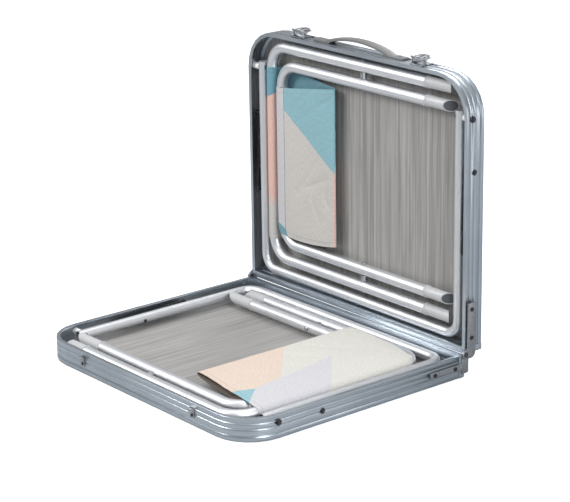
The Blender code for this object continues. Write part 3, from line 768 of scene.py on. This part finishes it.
# %% Brace and leg rivets
WALL_HEAD = (0.0052, 0.0026)      # radius and rise of each kind of head
ARM_HEAD = (0.0036, 0.0018)
LEG_HEAD = (0.0056, 0.0028)
LINK_HEAD = (0.0038, 0.0017)
LEG_HEAD_LIFT = 0.0003
ARM_HEAD_SINK = 0.0002
LEG_RIVET_INSET = 0.012
link_low = own_box("lower", "brace_wall_link_right")[0]
leg_link_low, leg_link_high = own_box("lower", "brace_leg_link_right")
LINK_HALF = 0.0065
LINK_THICK = 0.0020
brace_joints = {joint["name"]: joint for joint in frame["joints"] if "brace" in joint["name"]}
back = PLACE["lower"].inverted()
WALL_PIVOT = back @ Vector(brace_joints["lower_brace_swing"]["pos_m"])
KNEE = back @ Vector(brace_joints["lower_brace_knee"]["pos_m"])
ARM_PIN = Vector((0, leg_link_high.y - LINK_HALF, leg_link_high.z - LINK_HALF))
STOP_PIN = Vector((0, link_low.y + LINK_HALF + 0.002, link_low.z + LINK_HALF + 0.0004))
INNER_FACE = leg_link_low.x
for half in HALVES:
    for side, sign in SIDES.items():
        outside = (sign * HALF_LENGTH, WALL_PIVOT.y, WALL_PIVOT.z)
        fit_head(domed_head(*WALL_HEAD, outside, (sign, 0, 0)), half,
                 f"{half}_brace_wall_rivet_{side}", f"{half}_half", polished)
        arm_face = (sign * (LEG_SPAN - LEG_RADIUS + ARM_HEAD_SINK), ARM_PIN.y, ARM_PIN.z)
        fit_head(domed_head(*ARM_HEAD, arm_face, (-sign, 0, 0)), half,
                 f"{half}_brace_arm_rivet_{side}", f"{half}_leg", polished)
        leg_pivot = (sign * (HALF_LENGTH + LEG_HEAD_LIFT), leg_high.y - LEG_RIVET_INSET, LEG_DEPTH)
        fit_head(domed_head(*LEG_HEAD, leg_pivot, (sign, 0, 0)), half,
                 f"{half}_leg_rivet_dome_{side}", f"{half}_half", polished)
        spots = {"knee": (KNEE, f"{half}_brace_leg_links", INNER_FACE, -1),
                 "pin": (ARM_PIN, f"{half}_brace_leg_links", INNER_FACE, -1),
                 "stop": (STOP_PIN, f"{half}_brace_wall_links", link_low.x + LINK_THICK, 1),
                 "root": (WALL_PIVOT, f"{half}_brace_wall_links", link_low.x, -1)}
        for label, (spot, body, face, out) in spots.items():
            fit_head(domed_head(*LINK_HEAD, (sign * face, spot.y, spot.z), (sign * out, 0, 0)),
                     half, f"{half}_brace_{label}_{side}", body, zinc)
print("brace points, mm:", [tuple(round(1000 * value, 1) for value in point.yz)
                            for point in (WALL_PIVOT, KNEE, ARM_PIN, STOP_PIN)])

# %% Screws of the hinge plates, catches, latches and handle
LEAF_HEAD = (0.0042, 0.0020)
CATCH_HEAD = (0.0030, 0.0013)
LATCH_HEAD = (0.0022, 0.0010)
HANDLE_HEAD = (0.0042, 0.0016)
CATCH_THICK = 0.0015
LATCH_THICK = 0.0012
LATCH_SPREAD = 0.0085
PAD_RISE = 0.0047
PAD_INSET = 0.014
LEAF_SCREWS = {"lower": ((0.073, 0.0208), (0.024, 0.0212)),      # from the hinge, and down
               "lid": ((0.083, 0.013), (0.030, 0.013))}
for half, spots in LEAF_SCREWS.items():
    face = own_box(half, "hinge_leaf_right")[1].x
    for side, sign in SIDES.items():
        for count, (along, down) in enumerate(spots):
            fit_head(screw_head(*LEAF_HEAD, (sign * face, along, down), (sign, 0, 0)), half,
                     f"{half}_leaf_screw_{side}_{count}", f"{half}_half", polished)
for side, sign in SIDES.items():
    low, high = own_box("lower", f"catch_{side}")
    middle = (low.x + high.x) / 2
    fit_head(screw_head(*CATCH_HEAD, (middle, DEPTH + CATCH_THICK, high.z - 0.0045), (0, 1, 0)),
             "lower", f"catch_screw_{side}", "lower_half", polished)
    low, high = own_box("lid", f"latch_base_{side}")
    middle = (low.x + high.x) / 2
    for count, ear in enumerate((-1, 1)):
        at = (middle + ear * LATCH_SPREAD, low.y + LATCH_THICK, low.z + 0.0026)
        fit_head(screw_head(*LATCH_HEAD, at, (0, 1, 0)), "lid",
                 f"latch_screw_{side}_{count}", "lid_half", zinc)
handle_low, handle_high = own_box("lid", "handle")
for end, sign in ENDS.items():
    at = (sign * (handle_high.x - PAD_INSET), DEPTH + PAD_RISE,
          (handle_low.z + handle_high.z) / 2)
    fit_head(screw_head(*HANDLE_HEAD, at, (0, 1, 0)), "lid", f"handle_screw_{end}", "lid_half",
             zinc)

# %% [markdown]
# ## The seat cloth
#
# Each stool's seat is one strip of plain-weave cloth. A sleeve at each end holds a crossbar, and
# with the stool folded the strip lies doubled between the bars. It is made as two layers that meet
# at the fold, because each layer follows its own frame. A grid is the flat cloth. Its points are
# then moved onto a profile: round the bar, and flat to the fold. Small moves add the hems and
# the soft creases of real cloth. The sewn lines are drawn later, in the cloth's colour.

# %% Cut of the cloth
CLOTH_THICK = 0.0008
SLEEVE = STOOL_RADIUS + 0.0012
HEM = 0.009
HEM_RISE = 0.0006
SAG = 0.006
PUFF = 0.0035
SEED = {"lid": 3.0, "lower": 8.0}
EDGES = {    # low and high edge across, at the bar and at the fold
    ("lid", "inner"): ((0.1075, 0.3965), (0.1130, 0.4180)),
    ("lid", "outer"): ((0.0920, 0.4320), (0.1130, 0.4180)),
    ("lower", "outer"): ((0.0700, 0.4300), (0.0550, 0.4000)),
    ("lower", "inner"): ((0.1195, 0.4085), (0.0550, 0.4000)),
}
ACROSS_CELLS = 150
ALONG_CELLS = 130


def arc_points(centre, radius, start, stop, steps=24):
    turns = [math.radians(start + (stop - start) * i / steps) for i in range(steps + 1)]
    return [Vector((centre[0] + radius * math.cos(turn), centre[1] + radius * math.sin(turn)))
            for turn in turns]


def curve_points(first, pull_first, pull_last, last, steps=24):
    """A smooth run between two points, as a cubic curve with two pulls."""
    made = []
    for i in range(1, steps + 1):
        t = i / steps
        made.append(first * (1 - t) ** 3 + pull_first * 3 * t * (1 - t) ** 2
                    + pull_last * 3 * t * t * (1 - t) + last * t ** 3)
    return made


def layer_profile(bar, face, pulls, fold):
    """Points (along X, down) of one layer: the loop round its bar, then the run to the fold.

    face is -1 when the layer leaves the bar on its open side, 1 on its board side. The two pulls
    shape the run.
    """
    seam = Vector((bar - 1.30 * SLEEVE, STOOL_DEPTH + face * (SLEEVE - 0.0016)))
    loop = arc_points((bar, STOOL_DEPTH), SLEEVE, -face * 195, face * 90)
    return [seam] + loop + curve_points(loop[-1], *pulls, fold)


def lengths_along(points):
    total = [0.0]
    for first, second in zip(points, points[1:]):
        total.append(total[-1] + (second - first).length)
    return total


def at_length(points, lengths, wanted):
    """Point and sideways direction of a profile at a length along it."""
    for i in range(1, len(points)):
        if wanted <= lengths[i] or i == len(points) - 1:
            share = (wanted - lengths[i - 1]) / max(lengths[i] - lengths[i - 1], 1e-9)
            ahead = (points[i] - points[i - 1]).normalized()
            return points[i - 1].lerp(points[i], share), Vector((-ahead.y, ahead.x))


def crease(across, from_fold, seed):
    """Height of the cloth's soft unevenness, in metres: slow swells and a few sharp folds."""
    slow = noise.noise(Vector((across * 10, from_fold * 16, seed)))
    slant = noise.noise(Vector(((across + 0.9 * from_fold) * 20, from_fold * 8, seed + 5)))
    lay = noise.noise(Vector((across * 14, (from_fold - 0.3 * across) * 30, seed + 7)))
    fine = noise.noise(Vector((across * 90, from_fold * 90, seed + 9)))
    sharp = (1 - abs(slant)) ** 9 + 0.7 * (1 - abs(lay)) ** 11
    patches = max(0.0, 0.35 + noise.noise(Vector((across * 12, from_fold * 12, seed + 3))))
    return 0.0020 * slow + 0.0018 * sharp * patches + 0.00025 * fine


def bend_drop(ring, across):
    """How far the bar's end has bent away at a place across."""
    straight = stool[ring]["half"] - STOOL_BEND
    past = min(STOOL_BEND * 0.9, max(0.0, abs(across - STOOL_MIDDLE) - straight))
    return STOOL_BEND - math.sqrt(STOOL_BEND ** 2 - past ** 2)


def cloth_layer(half, ring, points, outward):
    """One layer of the seat. outward is the sign that lifts its outside face.

    Creases are full height where the cloth is free, and nearly fade out on the bar and the fold.
    """
    lengths = lengths_along(points)
    total = lengths[-1]
    bar_edges, fold_edges = (Vector(edges) for edges in EDGES[(half, ring)])
    reach = stool[ring]["cross"] - points[-1].x
    bpy.ops.object.select_all(action="DESELECT")
    bpy.ops.mesh.primitive_grid_add(x_subdivisions=ACROSS_CELLS, y_subdivisions=ALONG_CELLS,
                                    size=1, calc_uvs=True)
    layer = bpy.context.object
    layer.name = f"{half}_seat_{ring}_layer"
    places = []
    hems = []
    for vert in layer.data.vertices:
        along = (vert.co.y + 0.5) * total
        from_fold = total - along
        share = min(1.0, from_fold / reach)
        low_edge, high_edge = fold_edges.lerp(bar_edges, share)
        low_edge -= SAG * math.sin(math.pi * share)
        half_width, middle = (high_edge - low_edge) / 2, (high_edge + low_edge) / 2
        across = middle + 2 * vert.co.x * half_width
        spot, sideways = at_length(points, lengths, along)
        edge = half_width - abs(across - middle)
        free = max(0.0, min(1.0, from_fold / 0.02, (total - from_fold - 0.085) / 0.06))
        lift = crease(across, from_fold, SEED[half]) * (0.18 + 0.82 * free)
        lift += PUFF * free * math.sin(math.pi * min(1.0, from_fold / 0.15)) \
            * (0.5 + 0.5 * min(1.0, edge / 0.05))
        lift += HEM_RISE * max(0.0, min(1.0, (HEM - edge) / 0.002)) * free
        spot = spot + sideways * lift * outward
        on_bar = max(0.0, min(1.0, (from_fold / reach - 0.6) / 0.35))
        vert.co = (spot.x - on_bar * bend_drop(ring, across), across, spot.y)
        places.append((across, from_fold))
        hems.append((edge, from_fold))
    flat_map = layer.data.uv_layers.active
    flat_map.name = "cut"
    hem_map = layer.data.uv_layers.new(name="hem")
    for loop in layer.data.loops:
        flat_map.data[loop.index].uv = places[loop.vertex_index]
        hem_map.data[loop.index].uv = hems[loop.vertex_index]
    only(layer)
    bpy.ops.object.mode_set(mode="EDIT")
    bpy.ops.mesh.select_all(action="SELECT")
    if outward < 0:
        bpy.ops.mesh.flip_normals()
    bpy.ops.object.mode_set(mode="OBJECT")
    apply_modifier(layer, "SOLIDIFY", thickness=CLOTH_THICK, offset=-1)
    smooth(layer, 60)
    bar_width, fold_width = bar_edges[1] - bar_edges[0], fold_edges[1] - fold_edges[0]
    return layer, total, max(bar_width, fold_width), total * (bar_width + fold_width) / 2


# %% [markdown]
# ## Colours of the cloth
#
# The cloth is printed in large flat areas: blue-green, peach, sand, cream and a pale lilac. Two
# soft areas are painted light: dark brown painted shade inside the lower seat's fold, and a peach
# painted warm reflection along the lid seat's fold. The cloth's own flat map carries them, so
# they stay with the cloth when the stool opens. Its first number is the place across, from the
# hinge, and its second is the distance from the fold. Half planes cut the areas, and the weave
# shades and roughens all of them.

# %% Cloth colours
BLUE = (0.260, 0.480, 0.540)
DEEP_BLUE = (0.150, 0.340, 0.420)
PEACH = (0.760, 0.500, 0.430)
PALE_PEACH = (0.720, 0.585, 0.485)
SAND = (0.600, 0.575, 0.545)
CREAM = (0.655, 0.640, 0.590)
LILAC = (0.600, 0.590, 0.620)
# Dark brown painted shade: the peach cloth as it looks in shade inside the lower seat's fold.
FOLD_SHADE = (0.240, 0.195, 0.165)
STITCH = (0.160, 0.130, 0.130)
STITCH_LENGTH = 0.003


def cloth_finish(name, base, painted, seam_at):
    """painted holds (colour, list of (point, across direction, softness)), in painting order."""
    made, tree, shader = new_finish(name, base, 0.0, 0.85, Sheen_Weight=0.25,
                                    Sheen_Roughness=0.5)
    cut = add_node(tree, "ShaderNodeUVMap", uv_map="cut").outputs[0]
    colour = base
    for area_colour, planes in painted:
        mask = None
        for point, direction, softness in planes:
            plane = add_node(tree, "ShaderNodeGroup", node_tree=half_plane,
                             values={"Point": (*point, 0), "Softness": softness,
                                     "Across": (*Vector(direction).normalized(), 0)},
                             links=[("Place", cut)])
            mask = plane.outputs[0] if mask is None else \
                math_node(tree, "MULTIPLY", mask, plane.outputs[0])
        colour = blend_colours(tree, mask, colour, area_colour)
    threads = add_node(tree, "ShaderNodeGroup", node_tree=weave, links=[("Place", cut)])
    from_fold = add_node(tree, "ShaderNodeSeparateXYZ", links=[("Vector", cut)]).outputs["Y"]
    colour = blend_colours(tree, line_at(tree, from_fold, seam_at, 0.0006), colour, STITCH)
    hem = add_node(tree, "ShaderNodeUVMap", uv_map="hem").outputs[0]
    edge = add_node(tree, "ShaderNodeSeparateXYZ", links=[("Vector", hem)]).outputs["X"]
    stitches = math_node(tree, "MULTIPLY", math_node(tree, "LESS_THAN", math_node(
        tree, "PINGPONG", from_fold, STITCH_LENGTH), STITCH_LENGTH * 0.7), 0.45)
    hem_line = math_node(tree, "MULTIPLY", line_at(tree, edge, HEM, 0.0005), stitches)
    colour = blend_colours(tree, hem_line, colour, STITCH)
    shaded = add_node(tree, "ShaderNodeMix", data_type="RGBA", blend_type="MULTIPLY")
    shaded.inputs["Factor"].default_value = 1.0
    tree.links.new(colour, shaded.inputs[6])
    lightness = add_node(tree, "ShaderNodeMapRange",
                         values={"From Min": 0.0, "From Max": 0.32, "To Min": 0.48,
                                 "To Max": 1.26}, links=[("Value", threads.outputs["Shade"])])
    tree.links.new(lightness.outputs[0], shaded.inputs[7])
    tree.links.new(shaded.outputs[2], shader.inputs["Base Color"])
    relief = add_node(tree, "ShaderNodeBump", values={"Strength": 0.35, "Distance": 0.0003},
                      links=[("Height", threads.outputs["Height"])])
    tree.links.new(relief.outputs["Normal"], shader.inputs["Normal"])
    return made


# %% The four layers
FOLD_AT = 0.060
LOWER_FOLD_AT = 0.044
SEAM_FROM_FOLD = 0.139
BLEND_FROM_BAR = 0.016
RUNS = {    # side of the bar, the two pulls of the run, and the fold, as (along, down)
    ("lid", "inner"): (-1, (0.170, 0.0010), (FOLD_AT - 0.002, 0.0020), (FOLD_AT, 0.0120)),
    ("lid", "outer"): (1, (0.190, 0.0295), (FOLD_AT - 0.002, 0.0250), (FOLD_AT, 0.0120)),
    ("lower", "outer"): (-1, (0.190, 0.0000), (LOWER_FOLD_AT + 0.004, -0.0070),
                         (LOWER_FOLD_AT, 0.0060)),
    ("lower", "inner"): (1, (0.170, 0.0290), (LOWER_FOLD_AT - 0.002, 0.0200),
                         (LOWER_FOLD_AT, 0.0060)),
}
AREAS = {    # base colour, then each painted area with the half planes that bound it
    ("lid", "inner"): (SAND, [
        (BLUE, [((0.355, 0.1365), (1.0, -0.729), 0.0010)]),
        # Soft peach strip along the fold, short of 0.255 across: a painted warm reflection, not
        # print.
        (PEACH, [((0.255, 0.010), (-1.0, 0.0), 0.0200), ((0.2, 0.005), (0.0, -1.0), 0.0080)]),
        (LILAC, [((0.2, SEAM_FROM_FOLD), (0.0, 1.0), 0.0006)]),
        (DEEP_BLUE, [((0.121, 0.140), (-1.0, 0.4), 0.0008), ((0.2, SEAM_FROM_FOLD), (0.0, 1.0),
                                                              0.0006)])]),
    ("lid", "outer"): (PEACH, [
        (DEEP_BLUE, [((0.361, 0.190), (1.0, -0.45), 0.0010)]),
        (SAND, [((0.168, 0.190), (-1.0, 0.0), 0.0250)])]),
    ("lower", "outer"): (CREAM, [
        (PALE_PEACH, [((0.2090, 0.0100), (1.0, -0.90), 0.0010)]),
        (LILAC, [((0.388, 0.142), (-0.185, 0.983), 0.0008), ((0.176, 0.102), (0.756, -0.655),
                                                             0.0012)]),
        (BLUE, [((0.381, 0.142), (0.435, 0.90), 0.0008), ((0.381, 0.142), (0.65, -0.76),
                                                          0.0008)])]),
    # The lower inner layer is dark brown painted shade near the fold, and peach past 0.110 from
    # it.
    ("lower", "inner"): (FOLD_SHADE, [(PEACH, [((0.2, 0.110), (0.0, 1.0), 0.0200)])]),
}
for (half, ring), (face, *run) in RUNS.items():
    first_pull, last_pull, fold = map(Vector, run)
    points = layer_profile(stool[ring]["cross"], face, (first_pull, last_pull), fold)
    layer, total, width, area = cloth_layer(half, ring, points, face)
    layer.data.transform(PLACE[half])
    base, painted = AREAS[(half, ring)]
    seam_at = SEAM_FROM_FOLD if half == "lid" and ring == "inner" else total - HEM
    paint(layer, cloth_finish(f"{half}_{ring}_cloth", base, painted, seam_at))
    bar_side = stool[ring]["cross"] - BLEND_FROM_BAR
    end = PLACE[half] @ Vector((2 * points[-1].x - bar_side, STOOL_MIDDLE, STOOL_DEPTH))
    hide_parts(f"{half}_stool_{ring}_seat")
    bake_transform(layer)
    print(layer.name, "cut, mm:", round(1000 * width), "x", round(1000 * total))

# %% [markdown]
# ## Floor, light and camera
#
# Bright satin metal needs large soft lights to mirror. Wide panels stand on both sides and above,
# with a darker gap between them, so the tubes show a bright line and a soft dark edge. A weak low
# panel adds a little light from behind the right-hand end. The floor and the world look pale to
# the camera. The Is Camera Ray output lets the metal mirror something else: a sky that is darker
# near the floor, and a floor without its glow.

# %% Floor and world
bpy.ops.object.select_all(action="DESELECT")
bpy.ops.mesh.primitive_plane_add(size=12, location=(0, 0, frame_low.z - 0.0005))
floor = bpy.context.object
floor.name = "floor"
floor_finish, tree, shader = new_finish("pale_floor", (0.9, 0.9, 0.9), 0.0, 0.8)
seen = tree.nodes.new("ShaderNodeLightPath").outputs["Is Camera Ray"]
tinted(tree, shader, seen, (0.42, 0.43, 0.44), (0.95, 0.95, 0.95))
tree.links.new(blend_colours(tree, seen, (0.0, 0.0, 0.0), (1.0, 1.0, 1.0)),
               shader.inputs["Emission Color"])
shader.inputs["Emission Strength"].default_value = 0.42
paint(floor, floor_finish)

world = bpy.data.worlds.new("studio")
bpy.context.scene.world = world
world.use_nodes = True
tree = world.node_tree
background = tree.nodes["Background"]
direction = tree.nodes.new("ShaderNodeTexCoord").outputs["Generated"]
height = add_node(tree, "ShaderNodeSeparateXYZ", links=[("Vector", direction)])
sky = tone_ramp(tree, height.outputs["Z"],
                [(place, (value, value * 1.01, value * 1.03))
                 for place, value in ((0.0, 0.24), (1.0, 0.72))])
seen = tree.nodes.new("ShaderNodeLightPath").outputs["Is Camera Ray"]
tree.links.new(blend_colours(tree, seen, sky, (1.2, 1.2, 1.2)),
               background.inputs["Color"])
background.inputs["Strength"].default_value = 1.0
bpy.context.scene.view_settings.view_transform = "Standard"


# %% Soft panels
CENTRE = (frame_low + frame_high) / 2


def soft_panel(name, place, size, power, tint=(1, 1, 1)):
    """A rectangular light that faces the middle of the object."""
    light = bpy.data.lights.new(name, "AREA")
    light.shape = "RECTANGLE"
    light.size, light.size_y = size
    light.energy = power
    light.color = tint
    lamp = bpy.data.objects.new(name, light)
    lamp.location = place
    lamp.rotation_euler = (CENTRE - Vector(place)).to_track_quat("-Z", "Y").to_euler()
    bpy.context.scene.collection.objects.link(lamp)


soft_panel("key_panel", (-1.3, -1.9, 2.0), (1.0, 1.0), 52, (1.0, 0.99, 0.97))
soft_panel("side_panel", (2.2, -0.4, 1.2), (0.8, 1.6), 30, (0.94, 0.97, 1.0))
soft_panel("top_panel", (0.2, 0.2, 2.4), (1.4, 0.7), 17)
soft_panel("back_panel", (-0.8, 2.2, 1.4), (1.4, 0.8), 16)
soft_panel("low_panel", (2.2, 1.7, 0.5), (1.4, 0.9), 6)

# %% Camera
CAMERA_PLACE = (2.7496, -2.1749, 1.3214)
CAMERA_RIGHT = (0.63592, 0.77162, -0.01418)
CAMERA_UP = (-0.22414, 0.20224, 0.95334)
CAMERA_LENS = 129.85
camera_data = bpy.data.cameras.new("camera")
camera_data.lens = CAMERA_LENS
camera_data.sensor_width = 36
camera = bpy.data.objects.new("camera", camera_data)
bpy.context.scene.collection.objects.link(camera)
right, up = Vector(CAMERA_RIGHT), Vector(CAMERA_UP)
turn = Matrix((right, up, right.cross(up))).transposed()
camera.rotation_euler = turn.to_euler()
camera.location = CAMERA_PLACE
bpy.context.scene.camera = camera
